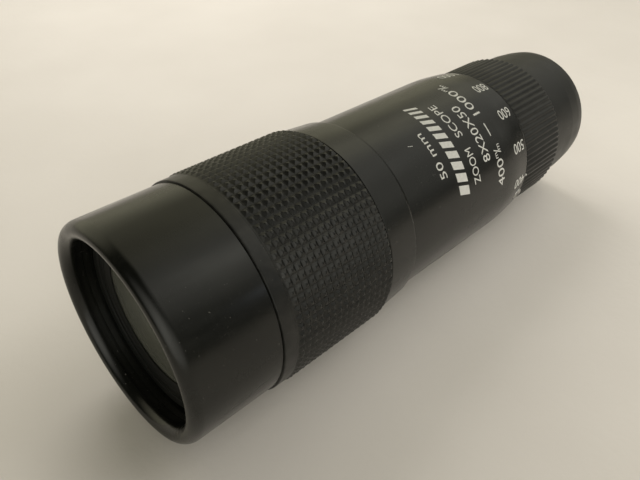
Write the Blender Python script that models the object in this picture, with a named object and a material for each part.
"""Straight-through zoom spotting scope, 8 to 20 times, 50 mm objective.

Every piece is drawn in the scope's own frame: x runs along the optical axis from the hood's front
face (x = 0) to the eyepiece, and phi is the angle round the axis, 0 at the top and growing towards
-Y. A parent empty on the optical axis then leans the whole scope so that it rests on z = 0 on the
back of its grip and the back of its body. Sizes below are in millimetres.
"""

import math

import bmesh
import bpy
from mathutils import Matrix, Vector

MM = 0.001
GAP = 0.3  # between pieces that touch in the real scope
SIDES = 48  # facets round the outer pieces
SIDES_IN = 32  # facets round the inner pieces

# Stations along the optical axis
HOOD_END = 26.2
GRIP_START = 26.5
KNURL_START = 30.5
GRIP_END = 66.0
CONE_END = 79.0
SHOULDER_START = 131.5
SHOULDER_EDGE = 140.0
BODY_END = 141.8
ZOOM_END = 165.3
CUP_END = 190.5

# Outer radii
R_HOOD = 31.0
R_BAND = 31.5
R_GRIP = 31.9
R_CONE = 31.2
R_CONE_END = 30.3
R_BODY = 29.2
R_SHOULDER = 28.2
R_BODY_END = 27.2
R_ZOOM = 27.4
R_CUP = 25.7
R_CUP_RIM = 24.2

# Front end
R_MOUTH = 26.2
LIP_ROUND = 3.4
R_HOOD_BORE = 27.0
R_FIXED_BORE = 28.1  # bore of the pieces that sit on the front barrel
R_BARREL = 27.8
R_BARREL_BORE = 26.6
BARREL_START = 14.3
BARREL_END = 84.3

# Objective: a 50 mm crown and flint pair in a sliding cell
R_LENS = 25.0
CELL_START = 9.0
CELL_END = 47.5
R_CELL = 26.3
R_CELL_BORE = 25.3
R_CELL_SEAT = 24.2
LENS_EDGE = 12.9
CROWN_FRONT_CURVE = 100.0
CROWN_BACK_CURVE = 75.0
CROWN_EDGE = 2.0
FLINT_EDGE_END = 22.2
FLINT_BACK_CURVE = 300.0

# Focus drive
FOCUS_PIN_X = 44.0
FOCUS_PIN_PHI = 180.0
FOCUS_PIN_R = 1.6
FOCUS_LEAD = 8.0  # objective travel per turn of the grip
FOCUS_TURN = (-30.0, 240.0)

# Zoom drive
ZOOM_TURN = 106.0
ZOOM_PIN_R = 1.4
PIN_A_X = 141.5
PIN_A_PHI = 0.0
TRAVEL_A = 7.0
PIN_B_X = 162.3
PIN_B_PHI = 180.0
TRAVEL_B = -4.0
DRIVE_X = 153.4
DRIVE_PHI = 45.0

# Roof prism pair, drawn in the upright plane through the axis
PRISM_X = 91.0
PRISM_APERTURE = 17.0
PRISM_LENGTH = 29.0
CAGE_START = 88.0
CAGE_END = 124.0


def clear_scene():
    for obj in list(bpy.data.objects):
        bpy.data.objects.remove(obj, do_unlink=True)


def material(name, colour, metallic=0.0, roughness=0.5, transmission=0.0):
    found = bpy.data.materials.get(name)
    if found:
        return found
    made = bpy.data.materials.new(name)
    made.use_nodes = True
    shader = made.node_tree.nodes["Principled BSDF"]
    shader.inputs["Base Color"].default_value = (*colour, 1.0)
    shader.inputs["Metallic"].default_value = metallic
    shader.inputs["Roughness"].default_value = roughness
    shader.inputs["Transmission Weight"].default_value = transmission
    made.diffuse_color = (*colour, 1.0)
    return made


def node_from(bm, name, look, axis_empty, sharp=35.0):
    """A named object on the scope's axis, from geometry drawn in millimetres."""
    bmesh.ops.recalc_face_normals(bm, faces=bm.faces)
    bmesh.ops.scale(bm, vec=(MM, MM, MM), verts=bm.verts)
    mesh = bpy.data.meshes.new(name)
    bm.to_mesh(mesh)
    bm.free()
    mesh.shade_smooth()
    mesh.set_sharp_from_angle(angle=math.radians(sharp))
    obj = bpy.data.objects.new(name, mesh)
    bpy.context.collection.objects.link(obj)
    obj.parent = axis_empty
    obj.data.materials.append(look)
    return obj


def lathe(profile, sides=SIDES, is_open=False):
    """Turns a closed outline of (x, radius) points round the x axis.

    With is_open the outline's two ends lie on the axis. Facets sit flat at the bottom.
    """
    bm = bmesh.new()
    half_step = Matrix.Rotation(math.pi / sides, 4, "X")
    verts = [bm.verts.new(half_step @ Vector((x, 0.0, r))) for x, r in profile]
    pairs = list(zip(verts, verts[1:]))
    if not is_open:
        pairs.append((verts[-1], verts[0]))
    edges = [bm.edges.new(pair) for pair in pairs]
    bmesh.ops.spin(
        bm,
        geom=verts + edges,
        cent=(0.0, 0.0, 0.0),
        axis=(1.0, 0.0, 0.0),
        angle=2.0 * math.pi,
        steps=sides,
        use_merge=True,
    )
    bmesh.ops.remove_doubles(bm, verts=bm.verts, dist=0.001)
    return bm


def arc(cx, cr, radius, start, end, steps):
    """Points (x, r) on an arc; angles in degrees from +x towards +r."""
    points = []
    for i in range(steps + 1):
        a = math.radians(start + (end - start) * i / steps)
        points.append((cx + radius * math.cos(a), cr + radius * math.sin(a)))
    return points


def around(x, r, phi):
    """The point at station x, radius r and angle phi degrees."""
    a = math.radians(phi)
    return Vector((x, -r * math.sin(a), r * math.cos(a)))


def radial_rod(x, phi, stations, sides=16):
    """A round rod that points outwards; stations are (distance from the axis, rod radius)."""
    bm = bmesh.new()
    rings = []
    for distance, radius in stations:
        ring = []
        for i in range(sides):
            a = 2.0 * math.pi * (i + 0.5) / sides
            side = Vector((radius * math.cos(a), radius * math.sin(a), distance))
            ring.append(bm.verts.new(side))
        rings.append(ring)
    for low, high in zip(rings, rings[1:]):
        for i in range(sides):
            j = (i + 1) % sides
            bm.faces.new((low[i], low[j], high[j], high[i]))
    bm.faces.new(list(reversed(rings[0])))
    bm.faces.new(rings[-1])
    turn = Matrix.Rotation(math.radians(phi), 4, "X")
    bmesh.ops.transform(bm, matrix=Matrix.Translation((x, 0, 0)) @ turn, verts=bm.verts)
    return bm


def swept_slot(r_low, r_high, half_width, path):
    """A cutter of rectangular section that follows (x, phi) points round the axis."""
    bm = bmesh.new()
    rings = []
    for x, phi in path:
        corners = (
            (x - half_width, r_low),
            (x + half_width, r_low),
            (x + half_width, r_high),
            (x - half_width, r_high),
        )
        rings.append([bm.verts.new(around(cx, cr, phi)) for cx, cr in corners])
    for low, high in zip(rings, rings[1:]):
        for i in range(4):
            j = (i + 1) % 4
            bm.faces.new((low[i], low[j], high[j], high[i]))
    bm.faces.new(rings[0])
    bm.faces.new(list(reversed(rings[-1])))
    return bm


def screw_path(x, phi, lead, start, end, steps):
    """(x, phi) points from start to end degrees of turn, with lead mm per degree."""
    path = []
    for i in range(steps + 1):
        turn = start + (end - start) * i / steps
        path.append((x + lead * turn, phi + turn))
    return path


def box(low, high):
    bm = bmesh.new()
    bmesh.ops.create_cube(bm, size=1.0)
    size = [b - a for a, b in zip(low, high)]
    middle = [(a + b) / 2.0 for a, b in zip(low, high)]
    bmesh.ops.scale(bm, vec=size, verts=bm.verts)
    bmesh.ops.translate(bm, vec=middle, verts=bm.verts)
    return bm


def combine(obj, bm, operation, axis_empty):
    """Adds a Boolean with the given geometry as a hidden helper."""
    helper = node_from(bm, f"{obj.name}_{operation.lower()}_{len(obj.modifiers)}", DARK, axis_empty)
    helper.hide_render = True
    helper.display_type = "WIRE"
    modifier = obj.modifiers.new(operation.title(), "BOOLEAN")
    modifier.operation = operation
    modifier.solver = "EXACT"
    modifier.object = helper


def prism(outline, half_width, name, look, axis_empty, ridge=None):
    """A block with an (x, z) outline; ridge adds the roof edge's two points on the middle plane."""
    bm = bmesh.new()
    for y in (-half_width, half_width):
        for x, z in outline:
            bm.verts.new((x, y, z))
    for x, z in ridge or ():
        bm.verts.new((x, 0.0, z))
    bmesh.ops.convex_hull(bm, input=bm.verts)
    bmesh.ops.dissolve_limit(bm, angle_limit=0.01, verts=bm.verts, edges=bm.edges)
    return node_from(bm, name, look, axis_empty, sharp=5.0)


def sag(curve, r):
    return curve - math.sqrt(curve * curve - r * r)


def lens(name, edge_start, edge_end, front_curve, back_curve, radius, axis_empty, rings=5):
    """A round lens; a curve is a surface's radius, positive where it bulges outwards."""
    front = []
    back = []
    for i in range(rings + 1):
        r = radius * i / rings
        front_rise = math.copysign(sag(abs(front_curve), radius) - sag(abs(front_curve), r), front_curve)
        back_rise = math.copysign(sag(abs(back_curve), radius) - sag(abs(back_curve), r), back_curve)
        front.append((edge_start - front_rise, r))
        back.append((edge_end + back_rise, r))
    bm = lathe(front + list(reversed(back)), SIDES_IN, is_open=True)
    return node_from(bm, name, GLASS, axis_empty, sharp=40.0)


def tube(name, x0, x1, r_in, r_out, look, axis_empty, sides=SIDES_IN, chamfer=0.0):
    profile = [
        (x0, r_in),
        (x0, r_out - chamfer),
        (x0 + chamfer, r_out),
        (x1 - chamfer, r_out),
        (x1, r_out - chamfer),
        (x1, r_in),
    ]
    if not chamfer:
        profile = [(x0, r_in), (x0, r_out), (x1, r_out), (x1, r_in)]
    return node_from(lathe(profile, sides), name, look, axis_empty)


clear_scene()
axis_frame = bpy.data.objects.new("scope_axis", None)
bpy.context.collection.objects.link(axis_frame)

ANODISED = material("black_anodised", (0.018, 0.018, 0.016), metallic=0.6, roughness=0.38)
GRIP = material("grip_black", (0.014, 0.014, 0.013), metallic=0.3, roughness=0.5)
DARK = material("matte_inner_black", (0.012, 0.012, 0.012), metallic=0.2, roughness=0.75)
RUBBER = material("eyecup_rubber", (0.02, 0.02, 0.019), roughness=0.6)
GLASS = material("optical_glass", (0.75, 0.82, 0.8), roughness=0.02, transmission=0.9)
STEEL = material("bright_steel", (0.6, 0.6, 0.6), metallic=1.0, roughness=0.25)
BRASS = material("drive_brass", (0.55, 0.42, 0.18), metallic=1.0, roughness=0.35)
WHITE = material("index_white", (0.85, 0.85, 0.83), roughness=0.5)


# Hood: rounded lip, mouth, stepped bore
lip = arc(LIP_ROUND, R_HOOD - LIP_ROUND, LIP_ROUND, 180.0, 90.0, 6)
hood_outline = [(0.0, R_MOUTH + 0.3)]
hood_outline += lip
hood_outline += [(HOOD_END - 0.3, R_HOOD), (HOOD_END, R_HOOD - 0.3)]
hood_outline += [(HOOD_END, R_FIXED_BORE), (BARREL_START - GAP, R_FIXED_BORE)]
hood_outline += [(BARREL_START - GAP, R_HOOD_BORE), (3.0, R_HOOD_BORE)]
hood_outline += [(3.0, R_MOUTH), (0.3, R_MOUTH)]
node_from(lathe(hood_outline), "hood", ANODISED, axis_frame)

# Fixed front barrel with the straight slot that keeps the objective from turning
barrel = tube(
    "front_barrel", BARREL_START, BARREL_END, R_BARREL_BORE, R_BARREL, DARK, axis_frame, SIDES
)
focus_reach = [FOCUS_LEAD * turn / 360.0 for turn in FOCUS_TURN]
slot_start = FOCUS_PIN_X - focus_reach[1] - FOCUS_PIN_R - 2 * GAP
slot_end = FOCUS_PIN_X - focus_reach[0] + FOCUS_PIN_R + 2 * GAP
slot_half = FOCUS_PIN_R + GAP
combine(
    barrel,
    box((slot_start, -slot_half, -30.0), (slot_end, slot_half, -25.0)),
    "DIFFERENCE",
    axis_frame,
)

# Grip: smooth band in front, knurled length behind it; its bore holds the helical groove
grip_outline = [
    (GRIP_START, R_FIXED_BORE),
    (GRIP_START, R_BAND - 0.3),
    (GRIP_START + 0.3, R_BAND),
    (KNURL_START, R_BAND),
    (KNURL_START + 0.4, R_GRIP),
    (GRIP_END - 0.6, R_GRIP),
    (GRIP_END - GAP, R_GRIP - 0.4),
    (GRIP_END - GAP, R_FIXED_BORE),
]
grip = node_from(lathe(grip_outline), "focus_ring", GRIP, axis_frame)
groove = screw_path(
    FOCUS_PIN_X,
    FOCUS_PIN_PHI,
    FOCUS_LEAD / 360.0,
    -FOCUS_TURN[1] - 5.0,
    -FOCUS_TURN[0] + 5.0,
    36,
)
combine(
    grip,
    swept_slot(R_FIXED_BORE - 1.0, R_GRIP - 1.7, FOCUS_PIN_R + GAP + 0.1, groove),
    "DIFFERENCE",
    axis_frame,
)

# Conical collar behind the grip
cone_outline = [
    (GRIP_END + GAP, R_FIXED_BORE),
    (GRIP_END + GAP, R_CONE - 0.2),
    (GRIP_END + GAP + 0.3, R_CONE),
    (CONE_END - 1.4, R_CONE_END),
    (CONE_END, R_CONE_END - 0.8),
    (CONE_END, R_FIXED_BORE),
]
node_from(lathe(cone_outline), "front_cone", ANODISED, axis_frame)

# Body: slim tube, counterbored for the front barrel, with the scale shoulder behind
R_BODY_BORE = 26.8
R_REAR_BORE = 24.9
REAR_WALL = 133.0
body_outline = [
    (CONE_END + GAP, R_FIXED_BORE),
    (CONE_END + GAP, R_BODY),
    (SHOULDER_START, R_BODY),
    (SHOULDER_EDGE, R_SHOULDER),
    (BODY_END - 0.5, R_BODY_END + 0.3),
    (BODY_END, R_BODY_END),
    (BODY_END, R_REAR_BORE),
    (REAR_WALL, R_REAR_BORE),
    (REAR_WALL, R_BODY_BORE),
    (BARREL_END + GAP, R_BODY_BORE),
    (BARREL_END + GAP, R_FIXED_BORE),
]
body = node_from(lathe(body_outline), "body_tube", ANODISED, axis_frame)
SCREW_X = 138.0
SCREW_PHI = 107.0
combine(
    body,
    radial_rod(SCREW_X, SCREW_PHI, ((R_REAR_BORE - 1.0, 1.8), (R_BODY + 1.0, 1.8))),
    "DIFFERENCE",
    axis_frame,
)
screw = node_from(
    radial_rod(SCREW_X, SCREW_PHI, ((R_REAR_BORE + 0.2, 1.2), (26.6, 1.2), (26.6, 1.5), (28.1, 1.5), (28.3, 1.3))),
    "shoulder_screw",
    STEEL,
    axis_frame,
)
combine(
    screw,
    radial_rod(SCREW_X, SCREW_PHI, ((27.4, 0.7), (29.0, 0.7)), sides=6),
    "DIFFERENCE",
    axis_frame,
)

# Objective cell, its two lenses, the ring that holds them and the key pin
cell_outline = [
    (CELL_START, R_CELL_BORE),
    (CELL_START, R_CELL - 0.3),
    (CELL_START + 0.3, R_CELL),
    (CELL_END, R_CELL),
    (CELL_END, R_CELL_BORE),
    (FLINT_EDGE_END + 2.0, R_CELL_BORE),
    (FLINT_EDGE_END + 2.0, R_CELL_SEAT),
    (FLINT_EDGE_END + GAP, R_CELL_SEAT),
    (FLINT_EDGE_END + GAP, R_CELL_BORE),
]
cell = node_from(lathe(cell_outline), "objective_cell", DARK, axis_frame)
combine(
    cell,
    radial_rod(FOCUS_PIN_X, FOCUS_PIN_PHI, ((R_CELL_BORE - 1.0, 1.3), (R_CELL + 1.0, 1.3))),
    "DIFFERENCE",
    axis_frame,
)
node_from(
    radial_rod(
        FOCUS_PIN_X,
        FOCUS_PIN_PHI,
        (
            (R_CELL_BORE + 0.1, 1.0),
            (R_CELL + GAP, 1.0),
            (R_CELL + GAP, FOCUS_PIN_R),
            (R_GRIP - 2.1, FOCUS_PIN_R),
        ),
    ),
    "focus_pin",
    BRASS,
    axis_frame,
)
crown_end = LENS_EDGE + CROWN_EDGE
lens("lens_crown", LENS_EDGE, crown_end, CROWN_FRONT_CURVE, CROWN_BACK_CURVE, R_LENS, axis_frame)
lens(
    "lens_flint",
    crown_end + GAP,
    FLINT_EDGE_END,
    -CROWN_BACK_CURVE,
    FLINT_BACK_CURVE,
    R_LENS,
    axis_frame,
)
ring_outline = [
    (LENS_EDGE - 2.6, 24.4),
    (LENS_EDGE - 2.6, R_LENS),
    (LENS_EDGE - 0.5, R_LENS),
    (LENS_EDGE - 0.5, 24.1),
    (LENS_EDGE - 1.0, 24.1),
]
retainer = node_from(lathe(ring_outline), "objective_retaining_ring", DARK, axis_frame)
for side in (-1.0, 1.0):
    combine(
        retainer,
        box((LENS_EDGE - 3.0, side * 24.6 - 1.5, -0.8), (LENS_EDGE - 1.6, side * 24.6 + 1.5, 0.8)),
        "DIFFERENCE",
        axis_frame,
    )

# Light baffle behind the focusing travel
baffle_outline = [(74.0, 17.0), (74.0, 26.3), (78.0, 26.3), (78.0, 25.6), (75.0, 25.6), (74.6, 17.0)]
node_from(lathe(baffle_outline), "baffle_ring", DARK, axis_frame)

# Prism cage: two plates with light holes, joined by two side walls
cage = tube("prism_cage", CAGE_START, CAGE_START + 2.0, 8.6, 26.5, DARK, axis_frame)
combine(
    cage,
    lathe([(CAGE_END - 2.0, 8.6), (CAGE_END - 2.0, 26.5), (CAGE_END, 26.5), (CAGE_END, 8.6)], SIDES_IN),
    "UNION",
    axis_frame,
)
WALL_IN = PRISM_APERTURE / 2.0 + GAP
WALL_OUT = WALL_IN + 1.6
for low, high in ((-WALL_OUT, -WALL_IN), (WALL_IN, WALL_OUT)):
    combine(
        cage,
        box((CAGE_START + 1.0, low, -22.0), (CAGE_END - 1.0, high, 15.0)),
        "UNION",
        axis_frame,
    )

# Front prism (45 degree deviation) and roof prism behind its slanted face
top = PRISM_APERTURE / 2.0
tip = (PRISM_X + PRISM_LENGTH, top - PRISM_LENGTH)
front_outline = [(PRISM_X, top), (PRISM_X, -top), (tip[0] - 5.0, tip[1] + 2.5), (tip[0] - 3.0, tip[1] + 3.0)]
prism(front_outline, top, "prism_front", GLASS, axis_frame)
exit_x = PRISM_X + PRISM_LENGTH + 0.6
slant = PRISM_X + top + 0.4 * math.sqrt(2.0)
short = PRISM_LENGTH * math.sqrt(0.5)
rear_outline = [
    (exit_x, slant - exit_x),
    (exit_x, slant - exit_x + PRISM_LENGTH),
    (exit_x - short, slant - exit_x + short),
]
lean = math.radians(112.5)
rise = Vector((math.cos(lean), math.sin(lean))) * 6.0
ridge_line = [
    (exit_x - short + rise.x + 2.0, slant - exit_x + short + rise.y + 0.8),
    (exit_x + rise.x, slant - exit_x + PRISM_LENGTH + rise.y),
]
prism(rear_outline, top, "prism_rear", GLASS, axis_frame, ridge_line)

# Spring strap hooked over the cage walls
STRAP_TOP = 16.2
strap = node_from(
    box((104.0, -WALL_OUT - 0.9, 15.3), (112.0, WALL_OUT + 0.9, STRAP_TOP)),
    "prism_strap",
    STEEL,
    axis_frame,
)
for side in (-1.0, 1.0):
    near = side * (WALL_OUT + GAP)
    far = side * (WALL_OUT + 0.9)
    combine(
        strap,
        box((104.0, min(near, far), 4.0), (112.0, max(near, far), 15.8)),
        "UNION",
        axis_frame,
    )

# Eyepiece barrel: flanged inside the body, slotted for the drive screw, stepped for the eyecup
R_EYE_BARREL = 24.6
R_EYE_BORE = 22.8
R_CUP_SEAT = 23.6
BARREL_TAIL = 176.0
eye_outline = [
    (130.0, R_EYE_BORE),
    (130.0, 26.5),
    (REAR_WALL - GAP, 26.5),
    (REAR_WALL - GAP, R_EYE_BARREL),
    (ZOOM_END - 0.2, R_EYE_BARREL),
    (ZOOM_END - 0.2, R_CUP_SEAT),
    (BARREL_TAIL, R_CUP_SEAT),
    (BARREL_TAIL, R_EYE_BORE),
]
eye_barrel = node_from(lathe(eye_outline, SIDES_IN), "eyepiece_barrel", DARK, axis_frame)
DRIVE_R = 1.5
window = screw_path(DRIVE_X, DRIVE_PHI, 0.0, -ZOOM_TURN - 6.0, 6.0, 20)
combine(
    eye_barrel,
    swept_slot(R_EYE_BORE - 1.0, R_EYE_BARREL + 1.0, DRIVE_R + GAP, window),
    "DIFFERENCE",
    axis_frame,
)

# Zoom ring with its plain front band, and the screw that takes the cam sleeve round
zoom_outline = [
    (BODY_END + GAP, R_REAR_BORE),
    (BODY_END + GAP, R_ZOOM - 0.2),
    (BODY_END + GAP + 0.3, R_ZOOM + 0.1),
    (BODY_END + 1.9, R_ZOOM + 0.1),
    (BODY_END + 2.2, R_ZOOM),
    (ZOOM_END - 0.6, R_ZOOM),
    (ZOOM_END, R_ZOOM - 0.5),
    (ZOOM_END, R_REAR_BORE),
]
zoom_ring = node_from(lathe(zoom_outline), "zoom_ring", GRIP, axis_frame)
combine(
    zoom_ring,
    radial_rod(DRIVE_X, DRIVE_PHI, ((R_REAR_BORE - 1.0, DRIVE_R + GAP), (26.2, DRIVE_R + GAP))),
    "DIFFERENCE",
    axis_frame,
)
INDEX_X = BODY_END + 1.4
INDEX_PHI = 90.0
combine(
    zoom_ring,
    radial_rod(INDEX_X, INDEX_PHI, ((R_ZOOM - 0.8, 0.75), (R_ZOOM + 2.0, 0.75))),
    "DIFFERENCE",
    axis_frame,
)
node_from(
    radial_rod(INDEX_X, INDEX_PHI, ((R_ZOOM - 0.5, 0.45), (R_ZOOM + 0.1, 0.45)), sides=12),
    "index_mark",
    WHITE,
    axis_frame,
)
R_SLEEVE = 22.5
R_SLEEVE_BORE = 20.6
node_from(
    radial_rod(
        DRIVE_X,
        DRIVE_PHI,
        ((R_SLEEVE_BORE + 0.3, 1.0), (R_SLEEVE + GAP, 1.0), (R_SLEEVE + GAP, DRIVE_R), (25.9, DRIVE_R)),
    ),
    "drive_screw",
    STEEL,
    axis_frame,
)

# Cam sleeve: one slanted slot for each zoom group
sleeve = tube("cam_sleeve", 134.0, 171.7, R_SLEEVE_BORE, R_SLEEVE, BRASS, axis_frame)
combine(
    sleeve,
    radial_rod(DRIVE_X, DRIVE_PHI, ((R_SLEEVE_BORE - 1.0, 1.3), (R_SLEEVE + 1.0, 1.3))),
    "DIFFERENCE",
    axis_frame,
)
for pin_x, pin_phi, travel in ((PIN_A_X, PIN_A_PHI, TRAVEL_A), (PIN_B_X, PIN_B_PHI, TRAVEL_B)):
    path = screw_path(pin_x, pin_phi, travel / ZOOM_TURN, -6.0, ZOOM_TURN + 6.0, 20)
    combine(
        sleeve,
        swept_slot(R_SLEEVE_BORE - 0.8, R_SLEEVE + 0.8, ZOOM_PIN_R + GAP + 0.1, path),
        "DIFFERENCE",
        axis_frame,
    )

# Guide tube: fixed, with a straight slot for each pin
R_GUIDE = 20.3
R_GUIDE_BORE = 18.6
guide_outline = [
    (133.5, R_GUIDE_BORE),
    (133.5, R_GUIDE),
    (172.0, R_GUIDE),
    (172.0, 22.5),
    (174.0, 22.5),
    (174.0, R_GUIDE_BORE),
]
guide = node_from(lathe(guide_outline, SIDES_IN), "guide_tube", DARK, axis_frame)
for pin_x, travel, low, high in ((PIN_A_X, TRAVEL_A, 16.0, 22.0), (PIN_B_X, TRAVEL_B, -22.0, -16.0)):
    ends = sorted((pin_x, pin_x + travel))
    reach = ZOOM_PIN_R + 2 * GAP
    half = ZOOM_PIN_R + GAP
    combine(
        guide,
        box((ends[0] - reach, -half, low), (ends[1] + reach, half, high)),
        "DIFFERENCE",
        axis_frame,
    )

# Two sliding zoom groups: cell, lens and follower pin each
R_GROUP = 18.3
R_GROUP_BORE = 14.6
R_GROUP_LENS = 14.3
for letter, pin_x, pin_phi, curves in (
    ("a", PIN_A_X, PIN_A_PHI, (-60.0, 90.0)),
    ("b", PIN_B_X, PIN_B_PHI, (45.0, 45.0)),
):
    start = pin_x - 3.8
    end = pin_x + 3.8
    group_outline = [
        (start, R_GROUP_BORE),
        (start, R_GROUP),
        (end, R_GROUP),
        (end, R_GROUP_BORE - 1.4),
        (end - 1.2, R_GROUP_BORE - 1.4),
        (end - 1.2, R_GROUP_BORE),
    ]
    group = node_from(lathe(group_outline, SIDES_IN), f"zoom_cell_{letter}", DARK, axis_frame)
    combine(
        group,
        radial_rod(pin_x, pin_phi, ((R_GROUP - 2.0, 1.1), (R_GROUP + 1.0, 1.1))),
        "DIFFERENCE",
        axis_frame,
    )
    node_from(
        radial_rod(
            pin_x,
            pin_phi,
            ((R_GROUP - 1.7, 0.8), (R_GROUP + GAP, 0.8), (R_GROUP + GAP, ZOOM_PIN_R), (22.3, ZOOM_PIN_R)),
        ),
        f"zoom_pin_{letter}",
        BRASS,
        axis_frame,
    )
    lens(
        f"zoom_lens_{letter}",
        start + 2.4,
        end - 1.2 - GAP,
        curves[0],
        curves[1] if letter == "b" else -curves[1],
        R_GROUP_LENS,
        axis_frame,
        rings=3,
    )

# Eye cap, eye lens and the ring that holds it
R_EYE_HOLE = 11.6
R_EYE_LENS = 13.0
cap_outline = [
    (168.6, R_EYE_LENS + GAP),
    (168.6, 16.0),
    (BARREL_TAIL + GAP, 16.0),
    (BARREL_TAIL + GAP, R_CUP_SEAT),
    (178.3, R_CUP_SEAT),
    (178.3, R_EYE_HOLE + 2.2),
    (177.3, R_EYE_HOLE),
    (175.6, R_EYE_HOLE),
    (175.6, R_EYE_LENS + GAP),
]
node_from(lathe(cap_outline), "eye_cap", DARK, axis_frame)
lens("eye_lens", 171.6, 175.0, 60.0, 60.0, R_EYE_LENS, axis_frame, rings=3)
tube("eye_lens_ring", 169.2, 171.0, R_EYE_HOLE, R_EYE_LENS, DARK, axis_frame)

# Rubber eyecup: grips the barrel's tail, then an open cup with a rounded rim
CUP_BORE = R_CUP_SEAT + GAP
CUP_SEAT_END = 178.6
rim = arc(CUP_END - 1.3, R_CUP_RIM - 1.3, 1.3, 75.0, 0.0, 3)
rim_in = arc(CUP_END - 0.9, R_CUP_RIM - 2.2, 0.9, 0.0, -90.0, 2)
cup_outline = [
    (ZOOM_END + GAP, CUP_BORE),
    (ZOOM_END + GAP, R_CUP - 0.4),
    (ZOOM_END + GAP + 0.8, R_CUP),
    (172.0, R_CUP - 0.1),
    (180.0, R_CUP - 0.3),
    (186.0, R_CUP_RIM + 0.6),
]
cup_outline += rim
cup_outline += rim_in
cup_outline += [(CUP_SEAT_END + 0.8, 21.8), (CUP_SEAT_END, 22.2), (CUP_SEAT_END, CUP_BORE)]
node_from(lathe(cup_outline), "eyecup", RUBBER, axis_frame)

# Rest attitude: the back of the grip and the back of the body touch z = 0
FLAT = math.cos(math.pi / SIDES)
lean_angle = math.atan2((R_GRIP - R_BODY) * FLAT, SHOULDER_START - (GRIP_END - 0.6))
axis_frame.rotation_euler = (0.0, lean_angle, 0.0)
turn = Matrix.Rotation(lean_angle, 3, "Y")
corners = [turn @ v.co for obj in bpy.data.objects if obj.type == "MESH" and not obj.hide_render for v in obj.data.vertices]
middle_x = (min(c.x for c in corners) + max(c.x for c in corners)) / 2.0
axis_frame.location = (-middle_x, 0.0, -min(c.z for c in corners))
bpy.context.view_layer.update()
